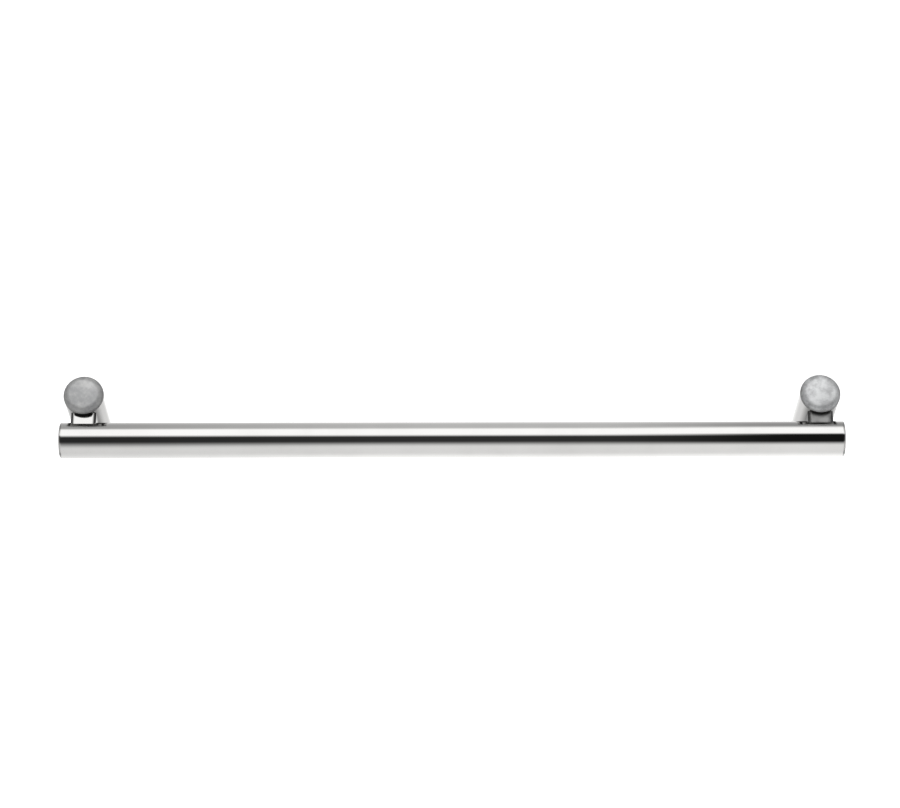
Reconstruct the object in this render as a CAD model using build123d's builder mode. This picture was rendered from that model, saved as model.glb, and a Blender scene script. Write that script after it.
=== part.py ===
import os

from build123d import *

# Grab rail on two stand-off posts. +X runs along the rail, +Z up the posts,
# z = 0 is the face the feet stand on and the origin lies midway between them.

overall_length = 560.0
rail_d = 25.4
rail_wall = 1.5
rail_y = -30.0
rail_z = 48.0

cap_rise = 1.4
cap_rim = 0.6
spigot_length = 7.0

post_spacing = 525.0
post_d = 28.6
post_wall = 3.0
post_top = 59.5
face_top = 64.0
face_floor = 60.0
face_crown = 0.5
face_edge = 3.5

spacer_width = 18.0
spacer_height = 17.0
spacer_edge = 3.0
washer_d = 13.0
joint_hole_d = 8.5
thread_d = 8.0
foot_thread_depth = 16.0
gasket_thickness = 1.5

slip = 0.02
ring_section = 1.42

rail_length = overall_length - 2 * (cap_rise + cap_rim)
rail_bore = rail_d / 2 - rail_wall
post_bore = post_d / 2 - post_wall

os.makedirs("parts", exist_ok=True)


def save(part, name):
    part.label = name
    export_step(part, f"parts/{name}.step")


# The rail: a plain tube with one hole at each post, in the wall that faces the post
with BuildPart() as rail_tube:
    with BuildSketch(Plane.YZ.offset(-rail_length / 2)):
        with Locations((rail_y, rail_z)):
            Circle(rail_d / 2)
            Circle(rail_bore, mode=Mode.SUBTRACT)
    extrude(amount=rail_length)
    for x in (-post_spacing / 2, post_spacing / 2):
        with BuildSketch(Plane((x, rail_y, rail_z), z_dir=(0, 1, 0))):
            Circle(joint_hole_d / 2)
        extrude(amount=rail_d, mode=Mode.SUBTRACT)
save(rail_tube.part, "rail_tube")

for side, sign in (("left", -1), ("right", 1)):
    post_x = sign * post_spacing / 2
    rail_end = (sign * rail_length / 2, rail_y, rail_z)
    rail_axis = Axis(rail_end, (1, 0, 0))
    post_axis = Axis((post_x, 0, 0), (0, 0, 1))
    # local x points out of the rail, local y up
    end_plane = Plane(rail_end, x_dir=(sign, 0, 0), z_dir=(0, -sign, 0))
    # local x points away from the post's axis, local y up it
    post_plane = Plane((post_x, 0, 0), x_dir=(1, 0, 0), z_dir=(0, -1, 0))
    # across the joint, from the middle of the post towards the rail
    joint_plane = Plane((post_x, 0, rail_z), x_dir=(1, 0, 0), z_dir=(0, -1, 0))
    spigot_r = rail_bore - slip
    spigot_groove_r = rail_bore - slip - ring_section

    # End cap: low dome flush with the tube, spigot with a groove for its seal
    with BuildPart() as end_cap:
        with BuildSketch(end_plane) as end_section:
            with BuildLine():
                dome_r = (rail_d**2 / 4 + cap_rise**2) / (2 * cap_rise)
                Polyline(
                    (cap_rim + cap_rise, 0),
                    (-spigot_length, 0),
                    (-spigot_length, spigot_r - 0.8),
                    (-spigot_length + 0.8, spigot_r),
                    (-4.6, spigot_r),
                    (-4.6, spigot_groove_r),
                    (-2.8, spigot_groove_r),
                    (-2.8, spigot_r),
                    (0, spigot_r),
                    (0, rail_d / 2),
                    (cap_rim, rail_d / 2),
                )
                ThreePointArc(
                    (cap_rim, rail_d / 2),
                    (cap_rim + cap_rise - dome_r + (dome_r**2 - rail_d**2 / 16) ** 0.5, rail_d / 4),
                    (cap_rim + cap_rise, 0),
                )
            make_face()
            fillet(end_section.vertices().sort_by_distance((cap_rim, rail_d / 2))[0], 0.5)
        revolve(axis=rail_axis)
    save(end_cap.part, f"end_cap_{side}")

    with BuildPart() as end_cap_seal:
        with BuildSketch(end_plane):
            with Locations((-3.7, rail_bore - ring_section / 2 - slip / 2)):
                Circle(ring_section / 2)
        revolve(axis=rail_axis)
    save(end_cap_seal.part, f"end_cap_seal_{side}")

    # Saddle nut: a block shaped to the tube's bore that the joint screw draws up to the wall
    with BuildPart() as saddle_nut:
        with BuildSketch(Plane.YZ.offset(post_x - 7)):
            with Locations((rail_y, rail_z)):
                Circle(rail_bore - slip)
                with Locations((-rail_d / 2 + 4, 0)):
                    Rectangle(rail_d, rail_d, mode=Mode.SUBTRACT)
                for z in (7 + rail_d / 2, -7 - rail_d / 2):
                    with Locations((0, z)):
                        Rectangle(rail_d, rail_d, mode=Mode.SUBTRACT)
        extrude(amount=14)
        with BuildSketch(Plane((post_x, rail_y, rail_z), z_dir=(0, 1, 0))):
            Circle(thread_d / 2)
        extrude(amount=rail_d, mode=Mode.SUBTRACT)
        chamfer(saddle_nut.faces().sort_by(Axis.Y)[0].outer_wire().edges(), 0.5)
    save(saddle_nut.part, f"saddle_nut_{side}")

    # Joint screw: M8 x 20 socket head, its head inside the post
    with BuildPart() as joint_screw:
        with BuildSketch(joint_plane.offset(0.3)):
            Circle(6.5)
        extrude(amount=8)
        with BuildSketch(joint_plane.offset(8.3)):
            Circle(thread_d / 2 - slip)
        extrude(amount=20)
        ends = joint_screw.edges().filter_by(GeomType.CIRCLE).sort_by(Axis.Y)
        chamfer(ends[0], 0.8)
        fillet(ends[-1], 0.6)
        with BuildSketch(joint_plane.offset(0.3)):
            RegularPolygon(3.0, 6, major_radius=False)
        extrude(amount=4, mode=Mode.SUBTRACT)
    save(joint_screw.part, f"joint_screw_{side}")

    # Saddle washer: round bearing face towards the post's bore, flat face under the screw's head
    with BuildPart() as saddle_washer:
        with BuildSketch(joint_plane.offset(8.3)):
            Circle(washer_d / 2)
            Circle(joint_hole_d / 2, mode=Mode.SUBTRACT)
        extrude(amount=4)
        with BuildSketch(Plane.XY.offset(rail_z - 10)):
            with Locations((post_x, 0)):
                Circle(post_bore - slip)
        extrude(amount=20, mode=Mode.INTERSECT)
    save(saddle_washer.part, f"saddle_washer_{side}")

    # Spacer between post and rail: a block with round edges, coped to fit both
    with BuildPart() as spacer:
        with BuildSketch(joint_plane.offset(10.5)):
            RectangleRounded(spacer_width, spacer_height, spacer_edge)
            Circle(joint_hole_d / 2, mode=Mode.SUBTRACT)
        extrude(amount=11)
        with BuildSketch(Plane.XY.offset(rail_z - spacer_width)):
            with Locations((post_x, 0)):
                Circle(post_d / 2 + slip / 2)
        extrude(amount=2 * spacer_width, mode=Mode.SUBTRACT)
        with BuildSketch(Plane.YZ.offset(post_x - spacer_width)):
            with Locations((rail_y, rail_z)):
                Circle(rail_d / 2 + slip / 2)
        extrude(amount=2 * spacer_width, mode=Mode.SUBTRACT)
    save(spacer.part, f"spacer_{side}")

    # Post: thick tube with one hole for the joint screw
    with BuildPart() as post:
        with BuildSketch(Plane.XY.offset(gasket_thickness)):
            with Locations((post_x, 0)):
                Circle(post_d / 2)
                Circle(post_bore, mode=Mode.SUBTRACT)
        extrude(amount=post_top - gasket_thickness)
        rings = post.edges().filter_by(GeomType.CIRCLE).filter_by(lambda e: e.radius > post_bore + 1)
        chamfer(rings.sort_by(Axis.Z)[-1], 0.15)
        chamfer(rings.sort_by(Axis.Z)[0], 0.4)
        with BuildSketch(joint_plane):
            Circle(joint_hole_d / 2)
        extrude(amount=post_d, mode=Mode.SUBTRACT)
    save(post.part, f"post_{side}")

    # Face cap: the post's round front, softly crowned, with a skirt and a groove for its seal
    cap_r = post_bore - slip
    cap_groove_r = cap_r - ring_section
    crown_r = post_d / 2 - face_edge
    with BuildPart() as face_cap:
        with BuildSketch(post_plane):
            with BuildLine():
                ThreePointArc(
                    (0, face_top),
                    (crown_r / 2, face_top - face_crown / 4),
                    (crown_r, face_top - face_crown),
                )
                RadiusArc(
                    (crown_r, face_top - face_crown),
                    (post_d / 2, face_top - face_crown - face_edge),
                    face_edge,
                )
                Polyline(
                    (post_d / 2, face_top - face_crown - face_edge),
                    (post_d / 2, post_top + 0.15),
                    (post_d / 2 - 0.15, post_top),
                    (cap_r, post_top),
                    (cap_r, post_top - 0.5),
                    (cap_groove_r, post_top - 0.5),
                    (cap_groove_r, post_top - 2.3),
                    (cap_r, post_top - 2.3),
                    (cap_r, post_top - 2.5),
                    (cap_r - 0.3, post_top - 2.8),
                    (8.4, post_top - 2.8),
                    (8.4, face_floor),
                    (0, face_floor),
                    (0, face_top),
                )
            make_face()
        revolve(axis=post_axis)
    save(face_cap.part, f"face_cap_{side}")

    with BuildPart() as face_cap_seal:
        with BuildSketch(post_plane):
            with Locations((post_bore - ring_section / 2 - slip / 2, post_top - 1.4)):
                Circle(ring_section / 2)
        revolve(axis=post_axis)
    save(face_cap_seal.part, f"face_cap_seal_{side}")

    # Base boss: solid plug in the post's foot with the M8 hole the rail is bolted up by
    with BuildPart() as base_boss:
        with BuildSketch(Plane.XY.offset(gasket_thickness)):
            with Locations((post_x, 0)):
                Circle(post_bore - slip / 2)
        extrude(amount=20)
        chamfer(base_boss.faces().sort_by(Axis.Z)[-1].edges(), 1.0)
        with BuildSketch(Plane.XY.offset(gasket_thickness)):
            with Locations((post_x, 0)):
                Circle(thread_d / 2)
        extrude(amount=foot_thread_depth, mode=Mode.SUBTRACT)
    save(base_boss.part, f"base_boss_{side}")

    with BuildPart() as base_gasket:
        with BuildSketch():
            with Locations((post_x, 0)):
                Circle(post_d / 2)
                Circle(thread_d / 2, mode=Mode.SUBTRACT)
        extrude(amount=gasket_thickness)
    save(base_gasket.part, f"base_gasket_{side}")
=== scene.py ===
import math

import bmesh
import bpy
from mathutils import Matrix, Vector


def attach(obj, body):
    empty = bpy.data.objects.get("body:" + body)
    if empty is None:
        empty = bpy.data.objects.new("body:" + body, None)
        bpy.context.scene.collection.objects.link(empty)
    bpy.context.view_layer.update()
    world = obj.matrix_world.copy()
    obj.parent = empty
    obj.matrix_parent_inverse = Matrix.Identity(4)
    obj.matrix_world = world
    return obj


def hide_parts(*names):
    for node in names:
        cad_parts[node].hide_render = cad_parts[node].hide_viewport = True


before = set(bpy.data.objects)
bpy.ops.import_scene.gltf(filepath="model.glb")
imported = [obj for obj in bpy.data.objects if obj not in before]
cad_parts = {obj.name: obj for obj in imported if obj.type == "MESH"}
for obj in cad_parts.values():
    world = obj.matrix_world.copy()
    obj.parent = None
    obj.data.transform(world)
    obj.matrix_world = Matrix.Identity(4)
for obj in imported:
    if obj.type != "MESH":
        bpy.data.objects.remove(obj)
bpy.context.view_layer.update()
print("frame loaded,", len(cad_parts), "nodes")

# Where things are, in metres: rail along X, posts along Z, panel at z = 0
place = {"railY": -0.030, "railZ": 0.048, "postX": 0.2625}
sides = {"left": -1, "right": 1}

# Slack between pieces that touch, and the tolerance for picking edges and faces by place
fit = {"slip": 0.00002, "halfSlip": 0.00001, "flatPick": 1e-5, "ringPick": 2e-5}
# The hole for the joint's screw, through rail, spacer and post
jointHole = {"radius": 0.00425, "around": 48, "depth": 0.016}


class Wire:
    # one socket of a node tree; sums and products with it add their Math nodes
    def __init__(self, tree, socket):
        self.tree, self.socket = tree, socket

    def join(self, operation, left, right=0.0):
        node = self.tree.add("ShaderNodeMath", {"operation": operation}, {0: left, 1: right})
        return node["Value"]

    def __add__(self, other):
        return self.join("ADD", self, other)

    def __sub__(self, other):
        return self.join("SUBTRACT", self, other)

    def __rsub__(self, other):
        return self.join("SUBTRACT", other, self)

    def __mul__(self, other):
        return self.join("MULTIPLY", self, other)

    def __truediv__(self, other):
        return self.join("DIVIDE", self, other)

    __radd__ = __add__
    __rmul__ = __mul__

    def call(self, operation, other=0.0):
        return self.join(operation, self, other)

    def smooth(self, low, high):
        # 0 below low, 1 above high, eased between
        settings = {"interpolation_type": "SMOOTHSTEP"}
        values = {"Value": self, "From Min": low, "From Max": high}
        return self.tree.add("ShaderNodeMapRange", settings, values)["Result"]


class Outputs:
    # a node's outputs by name or number, as wires
    def __init__(self, tree, node):
        self.tree, self.node = tree, node

    def __getitem__(self, name):
        return Wire(self.tree, self.node.outputs[name])


class Tree:
    def __init__(self, nodeTree):
        self.nodeTree = nodeTree
        nodeTree.nodes.clear()

    def add(self, kind, settings=None, values=None):
        node = self.nodeTree.nodes.new(kind)
        for key, value in (settings or {}).items():
            if key == "stops":
                self.setStops(node.color_ramp, value)
            else:
                setattr(node, key, value)
        for key, value in (values or {}).items():
            if isinstance(value, Wire):
                self.nodeTree.links.new(value.socket, node.inputs[key])
            else:
                node.inputs[key].default_value = value
        return Outputs(self, node)

    def setStops(self, ramp, stops):
        while len(ramp.elements) < len(stops):
            ramp.elements.new(1.0)
        for element, (position, colour) in zip(ramp.elements, stops):
            element.position = position
            element.color = colour

    def blend(self, factor, first, second):
        # mixes two colours; a Mix node's colour sockets are its inputs 6 and 7 and its output 2
        values = {0: factor, 6: first, 7: second}
        return self.add("ShaderNodeMix", {"data_type": "RGBA"}, values)[2]


def grey(value):
    return (value, value, value, 1.0)


def startMaterial(name):
    material = bpy.data.materials.new(name)
    material.use_nodes = True
    return material, Tree(material.node_tree)


def finishMaterial(tree, shader):
    tree.add("ShaderNodeOutputMaterial", None, {"Surface": shader})


polished = {
    "pale": (0.665, 0.660, 0.650, 1.0),
    "dull": (0.620, 0.615, 0.605, 1.0),
    # colour of the painted shade on a post's front beside the rail
    "tint": (0.16, 0.158, 0.155, 1.0),
    "tintDepth": (-0.0125, -0.0070),
    "tintHeight": (0.0110, 0.0200),
    "rough": 0.045,
    "smudge": 0.05,
    "lineDepth": 0.012,
    "along": 12.0,
    "acrossLines": 900.0,
}


def makePolished(name, along, shadedByRail=False):
    # mirror-polished stainless: faint smudges, very fine buffing lines that run along one axis,
    # and on a post painted shade: a dark grey on its front beside the rail, where the gap between post and
    # rail is in shade
    material, tree = startMaterial(name)
    where = tree.add("ShaderNodeTexCoord")["Object"]
    stretch = tuple(polished["along" if axis == along else "acrossLines"] for axis in "XYZ")
    stretched = tree.add("ShaderNodeMapping", None, {"Vector": where, "Scale": stretch})["Vector"]
    cloudLook = {"Vector": where, "Scale": 22.0, "Detail": 4.0, "Roughness": 0.6}
    cloud = tree.add("ShaderNodeTexNoise", None, cloudLook)
    lines = tree.add("ShaderNodeTexNoise", None, {"Vector": stretched, "Scale": 1.0, "Detail": 3.0})
    smudge = cloud["Fac"].smooth(0.5, 0.75)
    colour = tree.blend(cloud["Fac"].smooth(0.3, 0.8), polished["pale"], polished["dull"])
    # painted shade: the post turns dark grey on its front near the rail's height, standing in for the shade
    # in the gap
    if shadedByRail:
        parts = tree.add("ShaderNodeSeparateXYZ", None, {"Vector": where})
        offRail = (parts["Z"] - place["railZ"]).call("ABSOLUTE")
        aside = parts["Y"].smooth(*polished["tintDepth"])
        clear = aside.call("MAXIMUM", offRail.smooth(*polished["tintHeight"]))
        colour = tree.blend(clear, polished["tint"], colour)
    bump = tree.add(
        "ShaderNodeBump",
        None,
        {"Height": lines["Fac"], "Strength": polished["lineDepth"], "Distance": 0.0002},
    )
    shader = tree.add(
        "ShaderNodeBsdfPrincipled",
        None,
        {
            "Base Color": colour,
            "Metallic": 1.0,
            "Roughness": polished["rough"] + smudge * polished["smudge"],
            "Normal": bump["Normal"],
        },
    )
    finishMaterial(tree, shader["BSDF"])
    return material


satin = {
    # painted light: the right face's colours are paler than the left's, so the right cap looks more
    # brightly lit than its twin
    "pale": {"left": (0.66, 0.66, 0.655, 1.0), "right": (0.79, 0.80, 0.805, 1.0)},
    "dark": {"left": (0.50, 0.505, 0.51, 1.0), "right": (0.54, 0.545, 0.55, 1.0)},
    "rough": {"left": 0.45, "right": 0.40},
    "rimRough": 0.2,
    "ringPitch": 0.00035,
    "ringDepth": 0.25,
    "wobble": 5.0,
    "rimEdge": (0.0095, 0.0115),
}


def makeSatin(name, side):
    # satin turned faces: fine rings round each post's axis, light mottling, and painted light: the right
    # face's colour is paler than the left's
    material, tree = startMaterial(name)
    where = tree.add("ShaderNodeTexCoord")["Object"]
    parts = tree.add("ShaderNodeSeparateXYZ", None, {"Vector": where})
    offX = parts["X"].call("ABSOLUTE") - place["postX"]
    radius = (offX * offX + parts["Y"] * parts["Y"]).call("SQRT")
    wobble = tree.add("ShaderNodeTexNoise", None, {"Vector": where, "Scale": 260.0, "Detail": 4.0})["Fac"]
    mottleLook = {"Vector": where, "Scale": 120.0, "Detail": 5.0, "Roughness": 0.7}
    mottle = tree.add("ShaderNodeTexNoise", None, mottleLook)["Fac"]
    rim = radius.smooth(*satin["rimEdge"])
    rings = (radius * (2 * math.pi / satin["ringPitch"]) + wobble * satin["wobble"]).call("SINE")
    colour = tree.blend(mottle.smooth(0.36, 0.66), satin["pale"][side], satin["dark"][side])
    height = rings * 0.4 + wobble
    bump = tree.add(
        "ShaderNodeBump",
        None,
        {"Height": height, "Strength": satin["ringDepth"], "Distance": 0.00003},
    )
    shader = tree.add(
        "ShaderNodeBsdfPrincipled",
        None,
        {
            "Base Color": colour,
            "Metallic": 1.0,
            "Roughness": satin["rough"][side] + mottle * 0.1 + rim * satin["rimRough"],
            "Normal": bump["Normal"],
        },
    )
    finishMaterial(tree, shader["BSDF"])
    return material


machined = {
    "bright": {"pale": (0.54, 0.535, 0.525, 1.0), "dark": (0.38, 0.375, 0.37, 1.0), "rough": 0.28},
    "dull": {"pale": (0.34, 0.34, 0.335, 1.0), "dark": (0.15, 0.15, 0.15, 1.0), "rough": 0.33},
}


def makeMachined(name, finish, markScale):
    # steel left as it was turned or rolled, with tool marks and an oxide haze
    look = machined[finish]
    material, tree = startMaterial(name)
    where = tree.add("ShaderNodeTexCoord")["Object"]
    haze = tree.add("ShaderNodeTexNoise", None, {"Vector": where, "Scale": 140.0, "Detail": 5.0})["Fac"]
    marks = tree.add(
        "ShaderNodeTexWave",
        {"wave_type": "BANDS", "bands_direction": "Z"},
        {"Vector": where, "Scale": markScale, "Distortion": 1.5, "Detail": 2.0},
    )["Fac"]
    colour = tree.blend(haze.smooth(0.35, 0.7), look["pale"], look["dark"])
    bump = tree.add(
        "ShaderNodeBump",
        None,
        {"Height": marks, "Strength": 0.3, "Distance": 0.00004},
    )
    shader = tree.add(
        "ShaderNodeBsdfPrincipled",
        None,
        {
            "Base Color": colour,
            "Metallic": 1.0,
            "Roughness": look["rough"] + haze * 0.15,
            "Normal": bump["Normal"],
        },
    )
    finishMaterial(tree, shader["BSDF"])
    return material


rubber = {
    "black": (0.018, 0.018, 0.019, 1.0),
    "worn": (0.045, 0.045, 0.046, 1.0),
    "rough": 0.62,
}


def makeRubber(name, grain):
    # moulded rubber: fine pebbled skin, paler where it has rubbed
    material, tree = startMaterial(name)
    where = tree.add("ShaderNodeTexCoord")["Object"]
    pebble = tree.add("ShaderNodeTexNoise", None, {"Vector": where, "Scale": grain, "Detail": 3.0})["Fac"]
    rub = tree.add("ShaderNodeTexNoise", None, {"Vector": where, "Scale": 90.0, "Detail": 4.0})["Fac"]
    colour = tree.blend(rub.smooth(0.5, 0.75), rubber["black"], rubber["worn"])
    bump = tree.add("ShaderNodeBump", None, {"Height": pebble, "Strength": 0.4, "Distance": 0.00005})
    shader = tree.add(
        "ShaderNodeBsdfPrincipled",
        None,
        {
            "Base Color": colour,
            "Roughness": rubber["rough"] + rub * 0.15,
            "Normal": bump["Normal"],
        },
    )
    finishMaterial(tree, shader["BSDF"])
    return material


railSteel = makePolished("polishedRail", "X")
postSteel = makePolished("polishedPost", "Z", shadedByRail=True)
leftFaceSteel = makeSatin("satinFaceLeft", "left")
rightFaceSteel = makeSatin("satinFaceRight", "right")
innerSteel = makeMachined("machinedSteel", "bright", 900.0)
spacerSteel = makeMachined("dullSpacer", "dull", 700.0)
screwSteel = makeMachined("rolledScrew", "bright", 1600.0)
sealRubber = makeRubber("sealRubber", 2600.0)
footRubber = makeRubber("footRubber", 1800.0)
print("materials made")


def deselect():
    if bpy.context.object and bpy.context.object.mode != "OBJECT":
        bpy.ops.object.mode_set(mode="OBJECT")
    bpy.ops.object.select_all(action="DESELECT")


def addRound(name, radius, length, centre, axis, around):
    # a capped cylinder along X, Y or Z, its place put into its mesh
    deselect()
    turn = {"X": (0, math.pi / 2, 0), "Y": (math.pi / 2, 0, 0), "Z": (0, 0, 0)}[axis]
    bpy.ops.mesh.primitive_cylinder_add(
        vertices=around,
        radius=radius,
        depth=length,
        end_fill_type="NGON",
        location=centre,
        rotation=turn,
    )
    piece = bpy.context.object
    piece.name = name
    piece.data.name = name
    bpy.ops.object.transform_apply(location=True, rotation=True, scale=True)
    return piece


def edit(piece, mode):
    bpy.ops.object.mode_set(mode="OBJECT")
    deselect()
    piece.select_set(True)
    bpy.context.view_layer.objects.active = piece
    bpy.ops.object.mode_set(mode="EDIT")
    bpy.ops.mesh.select_mode(type=mode)
    bpy.ops.mesh.select_all(action="DESELECT")
    return bmesh.from_edit_mesh(piece.data)


def pickFaces(piece, test):
    mesh = edit(piece, "FACE")
    for face in mesh.faces:
        face.select = test(face.calc_center_median(), face.normal)
    bmesh.update_edit_mesh(piece.data)


def pickEdges(piece, test):
    mesh = edit(piece, "EDGE")
    for edge in mesh.edges:
        edge.select = all(test(v.co) for v in edge.verts)
    mesh.select_flush_mode()
    bmesh.update_edit_mesh(piece.data)


def stepFace(inset, move):
    # one turned step: the picked end face shrinks by the inset, then moves along its axis
    if inset:
        bpy.ops.mesh.inset(thickness=inset, depth=0.0, use_even_offset=True)
    if any(move):
        bpy.ops.transform.translate(value=move)


def pullOut(distance, axis):
    # extrudes the picked face along X, Y or Z
    move = [0.0, 0.0, 0.0]
    move[axis] = distance
    bpy.ops.mesh.extrude_region_move(TRANSFORM_OT_translate={"value": move})


def boreThrough(piece, axis, ends, wall):
    # both end faces shrink to the wall's inside, and a bore joins them
    low, high = ends

    def atEnd(centre, normal):
        nearest = min(abs(centre[axis] - low), abs(centre[axis] - high))
        return abs(normal[axis]) > 0.99 and nearest < fit["flatPick"]

    pickFaces(piece, atEnd)
    bpy.ops.mesh.inset(thickness=wall, depth=0.0, use_individual=True)
    bpy.ops.mesh.bridge_edge_loops()


def bevelRing(piece, axis, level, centre, radius, width, segments):
    # rounds the edge ring at this level along the axis and this radius from the centre
    others = [i for i in range(3) if i != axis]

    def onRing(co):
        off = math.hypot(co[others[0]] - centre[others[0]], co[others[1]] - centre[others[1]])
        return abs(co[axis] - level) < fit["flatPick"] and abs(off - radius) < fit["ringPick"]

    pickEdges(piece, onRing)
    bpy.ops.mesh.bevel(offset=width, segments=segments, profile=0.5, affect="EDGES")


def cutRing(piece, axis, level):
    # a supporting ring of edges across the piece
    edit(piece, "EDGE")
    bpy.ops.mesh.select_all(action="SELECT")
    point, normal = [0.0, 0.0, 0.0], [0.0, 0.0, 0.0]
    point[axis], normal[axis] = level, 1.0
    bpy.ops.mesh.bisect(plane_co=point, plane_no=normal)


def drillJoint(piece, centre):
    # the joint screw's hole, along Y
    drill = addRound("drill", jointHole["radius"], jointHole["depth"], centre, "Y", jointHole["around"])
    carve(piece, drill)


def carve(piece, cutter):
    # takes the cutter's shape out of the piece
    bpy.ops.object.mode_set(mode="OBJECT")
    cut = piece.modifiers.new("carve", "BOOLEAN")
    cut.operation, cut.object, cut.solver = "DIFFERENCE", cutter, "EXACT"
    deselect()
    piece.select_set(True)
    bpy.context.view_layer.objects.active = piece
    bpy.ops.object.modifier_apply(modifier="carve")
    bpy.data.objects.remove(cutter)


def finishPiece(piece, material, nodes, angle=32.0):
    # doubles merged, faces outwards, smooth with flats kept flat, material on, fixed to the part
    edit(piece, "VERT")
    bpy.ops.mesh.select_all(action="SELECT")
    bpy.ops.mesh.remove_doubles(threshold=1e-7)
    bpy.ops.mesh.normals_make_consistent(inside=False)
    bpy.ops.object.mode_set(mode="OBJECT")
    bpy.ops.object.shade_smooth_by_angle(angle=math.radians(angle))
    weight = piece.modifiers.new("weight", "WEIGHTED_NORMAL")
    weight.keep_sharp = True
    weight.weight = 100
    bpy.ops.object.modifier_apply(modifier="weight")
    piece.data.materials.clear()
    piece.data.materials.append(material)
    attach(piece, "root")
    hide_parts(*nodes)


def mirrorCopy(piece, name):
    # the same piece at the other end, with its own mesh
    bpy.ops.object.mode_set(mode="OBJECT")
    deselect()
    twin = piece.copy()
    twin.data = piece.data.copy()
    twin.name = twin.data.name = name
    bpy.context.scene.collection.objects.link(twin)
    for vertex in twin.data.vertices:
        vertex.co.x = -vertex.co.x
    twin.data.flip_normals()
    return twin


rail = {
    "radius": 0.0127,
    "wall": 0.0015,
    "length": 0.556,
    "around": 192,
    "endRound": 0.00022,
    "supportRings": (0.0012, 0.0275),  # in from each end, so that the shading stays even
}
railCentre = Vector((0, place["railY"], place["railZ"]))


def makeRail():
    halfLength = rail["length"] / 2
    piece = addRound("railTube", rail["radius"], rail["length"], railCentre, "X", rail["around"])
    boreThrough(piece, 0, (-halfLength, halfLength), rail["wall"])
    for sign in sides.values():
        for inFromEnd in rail["supportRings"]:
            cutRing(piece, 0, sign * (halfLength - inFromEnd))
    for sign in sides.values():
        bevelRing(piece, 0, sign * halfLength, railCentre, rail["radius"], rail["endRound"], 3)
    for sign in sides.values():
        wallCentre = (sign * place["postX"], place["railY"] + rail["radius"], place["railZ"])
        drillJoint(piece, wallCentre)
    return piece


finishPiece(makeRail(), railSteel, ["rail_tube"])
print("rail made")


endCap = {
    "rim": 0.0006,
    "rise": 0.0014,
    "edgeRound": 0.00045,
    "rings": 9,
    "poleGap": 0.35,  # how much of a ring's width is left flat at the dome's middle
    "grooveDepth": 0.00142,
    "spigotSteps": (0.0028, 0.0018, 0.0016),  # before, along and after the groove
    "lead": 0.0008,
}


def makeEndCap():
    # the left-hand one: low dome outside, grooved spigot inside
    start = -rail["length"] / 2
    centre = Vector((start - endCap["rim"] / 2, place["railY"], place["railZ"]))
    piece = addRound("endCap_left", rail["radius"], endCap["rim"], centre, "X", 128)
    pickFaces(piece, lambda c, n: n.x < -0.99)
    domeRadius = (rail["radius"] ** 2 + endCap["rise"] ** 2) / (2 * endCap["rise"])
    across, height = rail["radius"], 0.0
    for ring in range(1, endCap["rings"] + 1):
        nextAcross = rail["radius"] * (1 - ring / (endCap["rings"] + endCap["poleGap"]))
        nextHeight = endCap["rise"] - domeRadius + math.sqrt(domeRadius**2 - nextAcross**2)
        stepFace(across - nextAcross, (-(nextHeight - height), 0, 0))
        across, height = nextAcross, nextHeight
    pickFaces(piece, lambda c, n: n.x > 0.99)
    bore = rail["radius"] - rail["wall"] - fit["slip"]
    beforeGroove, alongGroove, afterGroove = endCap["spigotSteps"]
    stepFace(rail["radius"] - bore, (0, 0, 0))
    pullOut(beforeGroove, 0)
    stepFace(endCap["grooveDepth"], (0, 0, 0))
    pullOut(alongGroove, 0)
    pullOut(0.0, 0)
    widen = bore / (bore - endCap["grooveDepth"])
    grooveEnd = (start + beforeGroove + alongGroove, place["railY"], place["railZ"])
    bpy.ops.transform.resize(value=(1, widen, widen), center_override=grooveEnd)
    pullOut(afterGroove, 0)
    stepFace(endCap["lead"], (endCap["lead"], 0, 0))
    bevelRing(piece, 0, start - endCap["rim"], centre, rail["radius"], endCap["edgeRound"], 5)
    return piece


leftEndCap = makeEndCap()
rightEndCap = mirrorCopy(leftEndCap, "endCap_right")
finishPiece(leftEndCap, railSteel, ["end_cap_left"])
finishPiece(rightEndCap, railSteel, ["end_cap_right"])
print("end caps made")


post = {
    "radius": 0.0143,
    "wall": 0.0030,
    "bottom": 0.0015,
    "top": 0.0595,
    "topEdge": 0.00018,
    "bottomEdge": 0.0004,
}


def makePost():
    height = post["top"] - post["bottom"]
    centre = Vector((-place["postX"], 0, post["bottom"] + height / 2))
    piece = addRound("post_left", post["radius"], height, centre, "Z", 160)
    boreThrough(piece, 2, (post["bottom"], post["top"]), post["wall"])
    # supporting rings by both ends and on both sides of the joint's hole
    for level, off in (("bottom", 0.001), ("top", -0.0006)):
        cutRing(piece, 2, post[level] + off)
    for off in (-0.008, 0.008):
        cutRing(piece, 2, place["railZ"] + off)
    bevelRing(piece, 2, post["top"], centre, post["radius"], post["topEdge"], 2)
    bevelRing(piece, 2, post["bottom"], centre, post["radius"], post["bottomEdge"], 3)
    drillJoint(piece, (-place["postX"], -post["radius"], place["railZ"]))
    return piece


leftPost = makePost()
rightPost = mirrorCopy(leftPost, "post_right")
finishPiece(leftPost, postSteel, ["post_left"])
finishPiece(rightPost, postSteel, ["post_right"])
print("posts made")


faceCap = {
    "radius": 0.0143,
    "top": 0.0640,
    "floor": 0.0600,
    "crown": 0.0005,
    "edge": 0.0035,
    "spigot": 0.01128,
    "groove": 0.00986,
    "skirt": 0.0084,
    "jointEdge": 0.00018,
    "blank": 0.0012,  # height of the disc that it starts from
    "edgeSteps": 14,
    "edgeStep": 6,  # degrees
    "crownSteps": (0.97, 0.85, 0.7, 0.5, 0.3, 0.12),
    "grooveFrom": 0.0005,
    "grooveWidth": 0.0018,
    "grooveTo": 0.0002,
    "lead": 0.0003,
}


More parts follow.
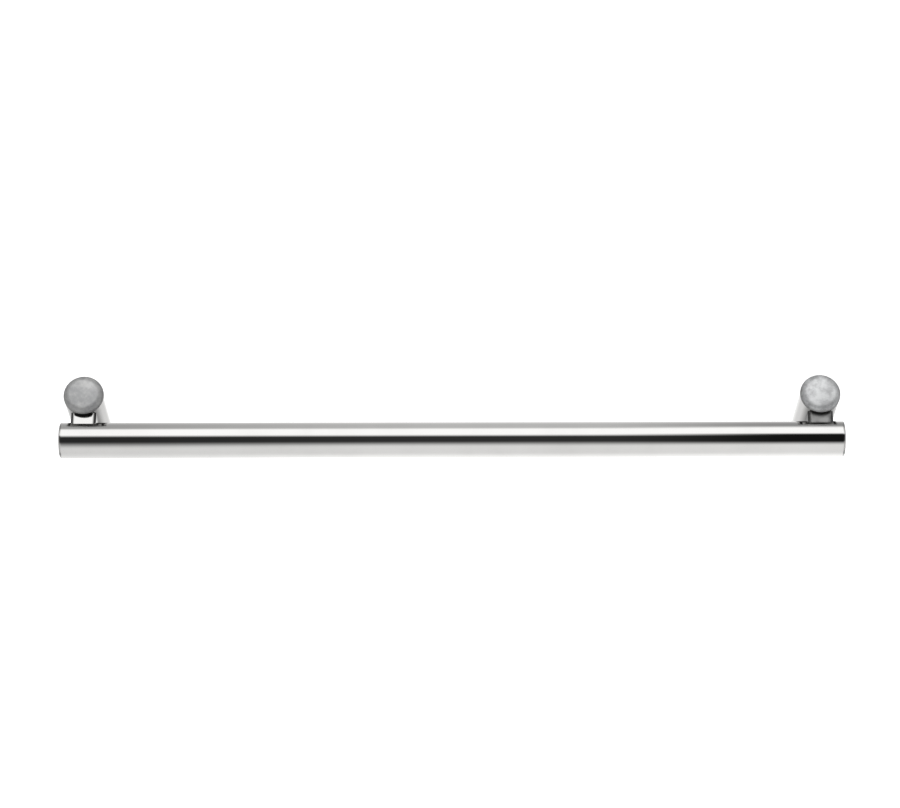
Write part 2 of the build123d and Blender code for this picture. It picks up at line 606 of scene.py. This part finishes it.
def makeFaceCap():
    # the left-hand one: a softly crowned face with a big round edge, and a grooved skirt inside the post
    height = faceCap["blank"]
    centre = Vector((-place["postX"], 0, post["top"] + height / 2))
    piece = addRound("faceCap_left", faceCap["radius"], height, centre, "Z", 160)
    pickFaces(piece, lambda c, n: n.z > 0.99)
    edge, flat = faceCap["edge"], faceCap["radius"] - faceCap["edge"]
    flatLevel = faceCap["top"] - faceCap["crown"]
    across, level = faceCap["radius"], flatLevel - edge
    stepFace(0, (0, 0, level - (post["top"] + height)))
    steps = []
    for step in range(1, faceCap["edgeSteps"] + 1):
        turn = math.radians(faceCap["edgeStep"] * step)
        steps.append((flat + edge * math.cos(turn), flatLevel - edge + edge * math.sin(turn)))
    for part in faceCap["crownSteps"]:
        steps.append((flat * part, faceCap["top"] - faceCap["crown"] * part**2))
    for nextAcross, nextLevel in steps:
        stepFace(across - nextAcross, (0, 0, nextLevel - level))
        across, level = nextAcross, nextLevel
    pickFaces(piece, lambda c, n: n.z < -0.99)
    stepFace(faceCap["radius"] - faceCap["spigot"], (0, 0, 0))
    # down to the groove, in, along it, out, and on to the skirt's end
    deep = (
        (faceCap["grooveFrom"], faceCap["spigot"]),
        (0.0, faceCap["groove"]),
        (faceCap["grooveWidth"], faceCap["groove"]),
        (0.0, faceCap["spigot"]),
        (faceCap["grooveTo"], faceCap["spigot"]),
    )
    across = faceCap["spigot"]
    for drop, newAcross in deep:
        pullOut(-drop, 2)
        if newAcross != across:
            size = newAcross / across
            bpy.ops.transform.resize(value=(size, size, 1), center_override=(-place["postX"], 0, 0))
            across = newAcross
    stepFace(faceCap["lead"], (0, 0, -faceCap["lead"]))
    stepFace(faceCap["spigot"] - faceCap["lead"] - faceCap["skirt"], (0, 0, 0))
    skirtLength = sum(drop for drop, newAcross in deep) + faceCap["lead"]
    pullOut(faceCap["floor"] - (post["top"] - skirtLength), 2)
    bevelRing(piece, 2, post["top"], centre, faceCap["radius"], faceCap["jointEdge"], 2)
    return piece


leftFaceCap = makeFaceCap()
rightFaceCap = mirrorCopy(leftFaceCap, "faceCap_right")
finishPiece(leftFaceCap, leftFaceSteel, ["face_cap_left"])
finishPiece(rightFaceCap, rightFaceSteel, ["face_cap_right"])
print("face caps made")


spacer = {
    "width": 0.0180,
    "height": 0.0170,
    "edge": 0.0030,
    "edgeSegments": 12,
    "from": -0.0105,
    "to": -0.0215,
    "cutter": 0.05,
    "drill": 0.03,
}


def makeSpacer():
    # a block with round edges along the joint, coped to the post and to the rail
    length = spacer["from"] - spacer["to"]
    middle = Vector((-place["postX"], spacer["from"] - length / 2, place["railZ"]))
    deselect()
    size = (spacer["width"], length, spacer["height"])
    bpy.ops.mesh.primitive_cube_add(size=1.0, location=middle, scale=size)
    piece = bpy.context.object
    piece.name = piece.data.name = "spacer_left"
    bpy.ops.object.transform_apply(location=True, rotation=True, scale=True)
    mesh = edit(piece, "EDGE")
    for edge in mesh.edges:
        first, second = edge.verts
        edge.select = abs(first.co.y - second.co.y) > length / 2
    bmesh.update_edit_mesh(piece.data)
    bpy.ops.mesh.bevel(
        offset=spacer["edge"],
        segments=spacer["edgeSegments"],
        profile=0.5,
        affect="EDGES",
    )
    carve(piece, addRound("drill", jointHole["radius"], spacer["drill"], middle, "Y", 64))
    postAt = (-place["postX"], 0, place["railZ"])
    postRadius = post["radius"] + fit["halfSlip"]
    carve(piece, addRound("postCut", postRadius, spacer["cutter"], postAt, "Z", 320))
    railAt = (-place["postX"], place["railY"], place["railZ"])
    railRadius = rail["radius"] + fit["halfSlip"]
    carve(piece, addRound("railCut", railRadius, spacer["cutter"], railAt, "X", 384))
    return piece


leftSpacer = makeSpacer()
rightSpacer = mirrorCopy(leftSpacer, "spacer_right")
finishPiece(leftSpacer, railSteel, ["spacer_left"])
finishPiece(rightSpacer, spacerSteel, ["spacer_right"])
print("spacers made")


gasket = {"radius": 0.0143, "thick": 0.0015, "hole": 0.0040, "edge": 0.0003}


def makeGasket():
    centre = Vector((-place["postX"], 0, gasket["thick"] / 2))
    piece = addRound("footGasket_left", gasket["radius"], gasket["thick"], centre, "Z", 128)
    boreThrough(piece, 2, (0.0, gasket["thick"]), gasket["radius"] - gasket["hole"])
    for level in (0.0, gasket["thick"]):
        bevelRing(piece, 2, level, centre, gasket["radius"], gasket["edge"], 3)
    return piece


leftGasket = makeGasket()
rightGasket = mirrorCopy(leftGasket, "footGasket_right")
finishPiece(leftGasket, footRubber, ["base_gasket_left"])
finishPiece(rightGasket, footRubber, ["base_gasket_right"])
print("gaskets made")

# Inner pieces keep their own shape and get their finish
innerFinish = {
    "end_cap_seal": sealRubber,
    "face_cap_seal": sealRubber,
    "saddle_nut": innerSteel,
    "saddle_washer": innerSteel,
    "base_boss": innerSteel,
    "joint_screw": screwSteel,
}
for nodeName, finish in innerFinish.items():
    for side in sides:
        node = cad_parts[f"{nodeName}_{side}"]
        node.data.materials.clear()
        node.data.materials.append(finish)
print("inner pieces finished")


studio = {
    "floorRadius": 5.0,
    "floorDrop": 0.0002,
    "floorGlow": 0.85,
    "floorWhite": 0.9,
    "shellRadius": 8.0,
    "shellGlow": 1.0,
    "skyStrength": 1.0,
}

# What lies round the rail, in degrees: 0 is the near horizon, 90 overhead, 180 the far horizon.
# A dark flag hangs over the near side and a softbox over the far side, each from edge to edge.
zones = {
    "left": {
        "floor": 1.1, "room": 0.95, "flag": 0.03, "softbox": 1.45, "behind": 0.50,
        "flagNear": (10, 60), "flagFar": (85, 105), "softboxEnd": (135, 155),
    },
    "middle": {
        "floor": 1.3, "room": 1.00, "flag": 0.04, "softbox": 1.45, "behind": 0.70,
        "flagNear": (20, 60), "flagFar": (85, 105), "softboxEnd": (135, 155),
    },
    "right": {
        "floor": 1.4, "room": 1.05, "flag": 0.01, "softbox": 1.45, "behind": 0.40,
        "flagNear": (25, 55), "flagFar": (95, 110), "softboxEnd": (140, 165),
    },
}
floorEdges = {"behind": (-180, -110), "near": (-70, -20)}

# brightness towards the rail's ends, by height above the horizon: in front, beside and behind
endsFront = [
    (-90, 1.0), (-66, 0.94), (-59, 0.50), (-52, 0.12), (-30, 0.08), (-20, 0.45), (-10, 0.72),
    (8, 0.72), (34, 0.70), (44, 0.40), (52, 0.05), (78, 0.02), (90, 0.1),
]
endsBeside = [
    (-90, 1.0), (-66, 0.92), (-55, 0.60), (-46, 0.12), (-38, 0.02), (-6, 0.02), (6, 0.07),
    (25, 0.10), (36, 0.35), (50, 0.95), (72, 1.30), (90, 0.9),
]
endsBehind = [
    (-90, 1.0), (-66, 0.95), (-40, 0.85), (-14, 0.50), (0, 0.24), (22, 0.26), (34, 0.60),
    (50, 1.0), (72, 1.30), (90, 0.9),
]
# where one light gives way to the next, by how far a direction points along X or towards +Y
turns = {
    "toMiddle": (-0.14, -0.02),
    "toRight": (0.05, 0.13),
    "toBeside": (0.05, 0.3),
    "toBehind": (0.5, 0.7),
    "toEnds": (0.16, 0.36),
}


def rampStops(bands):
    # heights from -90 to 90 degrees, as places from 0 to 1 on the ramp
    return [(height / 180 + 0.5, grey(value)) for height, value in bands]


def endLight(tree, height, bands):
    return tree.add("ShaderNodeValToRGB", {"stops": rampStops(bands)}, {"Fac": height})["Color"]


def lightRound(angle, zone):
    # brightness by angle: each edge eases from one thing's light to the next one's
    light = angle.smooth(*floorEdges["behind"]) * (zone["floor"] - zone["behind"]) + zone["behind"]
    light = light + angle.smooth(*floorEdges["near"]) * (zone["room"] - zone["floor"])
    light = light + angle.smooth(*zone["flagNear"]) * (zone["flag"] - zone["room"])
    light = light + angle.smooth(*zone["flagFar"]) * (zone["softbox"] - zone["flag"])
    return light + angle.smooth(*zone["softboxEnd"]) * (zone["behind"] - zone["softbox"])


def makeSky():
    world = bpy.data.worlds.new("studioSky")
    bpy.context.scene.world = world
    world.use_nodes = True
    tree = Tree(world.node_tree)
    towards = tree.add("ShaderNodeTexCoord")["Generated"]
    parts = tree.add("ShaderNodeSeparateXYZ", None, {"Vector": towards})
    x, y, z = parts["X"], parts["Y"], parts["Z"]
    angle = z.call("ARCTAN2", y * -1.0) * (180 / math.pi)
    height = z.call("ARCSINE") / math.pi + 0.5
    left, middle, right = (lightRound(angle, zone) for zone in zones.values())
    leftHalf = left + (middle - left) * x.smooth(*turns["toMiddle"])
    across = leftHalf + (right - leftHalf) * x.smooth(*turns["toRight"])
    front, beside, behind = (endLight(tree, height, bands) for bands in (endsFront, endsBeside, endsBehind))
    frontHalf = tree.blend(y.smooth(*turns["toBeside"]), front, beside)
    ends = tree.blend(y.smooth(*turns["toBehind"]), frontHalf, behind)
    colour = tree.blend(x.call("ABSOLUTE").smooth(*turns["toEnds"]), across, ends)
    sky = tree.add("ShaderNodeBackground", None, {"Color": colour, "Strength": studio["skyStrength"]})
    tree.add("ShaderNodeOutputWorld", None, {"Surface": sky["Background"]})


def makeGlow(name, strength, diffuse):
    material, tree = startMaterial(name)
    glow = tree.add("ShaderNodeEmission", None, {"Color": grey(1.0), "Strength": strength})
    if diffuse:
        body = tree.add("ShaderNodeBsdfDiffuse", None, {"Color": grey(studio["floorWhite"])})
        both = tree.add("ShaderNodeAddShader", None, {0: glow["Emission"], 1: body["BSDF"]})
        finishMaterial(tree, both["Shader"])
    else:
        finishMaterial(tree, glow["Emission"])
    return material


def makeFloor():
    deselect()
    bpy.ops.mesh.primitive_circle_add(
        vertices=96,
        radius=studio["floorRadius"],
        fill_type="NGON",
        location=(0, 0, -studio["floorDrop"]),
    )
    floor = bpy.context.object
    floor.name = "floor"
    floor.data.materials.append(makeGlow("paleFloor", studio["floorGlow"], True))
    floor.visible_glossy = False


def makeShell():
    # a pale surround that only the camera sees, so that the bands show in the steel alone
    deselect()
    bpy.ops.mesh.primitive_uv_sphere_add(
        segments=64,
        ring_count=32,
        radius=studio["shellRadius"],
        location=(0, 0, 0),
    )
    shell = bpy.context.object
    shell.name = "surround"
    shell.data.materials.append(makeGlow("paleSurround", studio["shellGlow"], False))
    for ray in ("diffuse", "glossy", "transmission", "shadow", "volume_scatter"):
        setattr(shell, "visible_" + ray, False)


makeSky()
makeFloor()
makeShell()
scene = bpy.context.scene
scene.view_settings.view_transform = "Standard"
scene.view_settings.look = "None"
print("studio made")


view = {
    "target": (-0.0014, -0.00672, 0.05836),
    "distance": 1.90,
    "tilt": 66.0,
    "lens": 106.7,
    "roll": -0.13,
    "sensor": 36.0,
    "clipEnd": 100.0,
}


def makeCamera():
    tilt = math.radians(view["tilt"])
    back = Vector((0, -math.cos(tilt), math.sin(tilt)))
    data = bpy.data.cameras.new("camera")
    data.lens = view["lens"]
    data.sensor_width = view["sensor"]
    data.clip_end = view["clipEnd"]
    camera = bpy.data.objects.new("camera", data)
    scene.collection.objects.link(camera)
    camera.location = Vector(view["target"]) + back * view["distance"]
    facing = (-back).to_track_quat("-Z", "Y")
    roll = Matrix.Rotation(math.radians(view["roll"]), 3, "Z")
    camera.rotation_euler = (facing.to_matrix() @ roll).to_euler()
    scene.camera = camera


makeCamera()
print("camera placed")
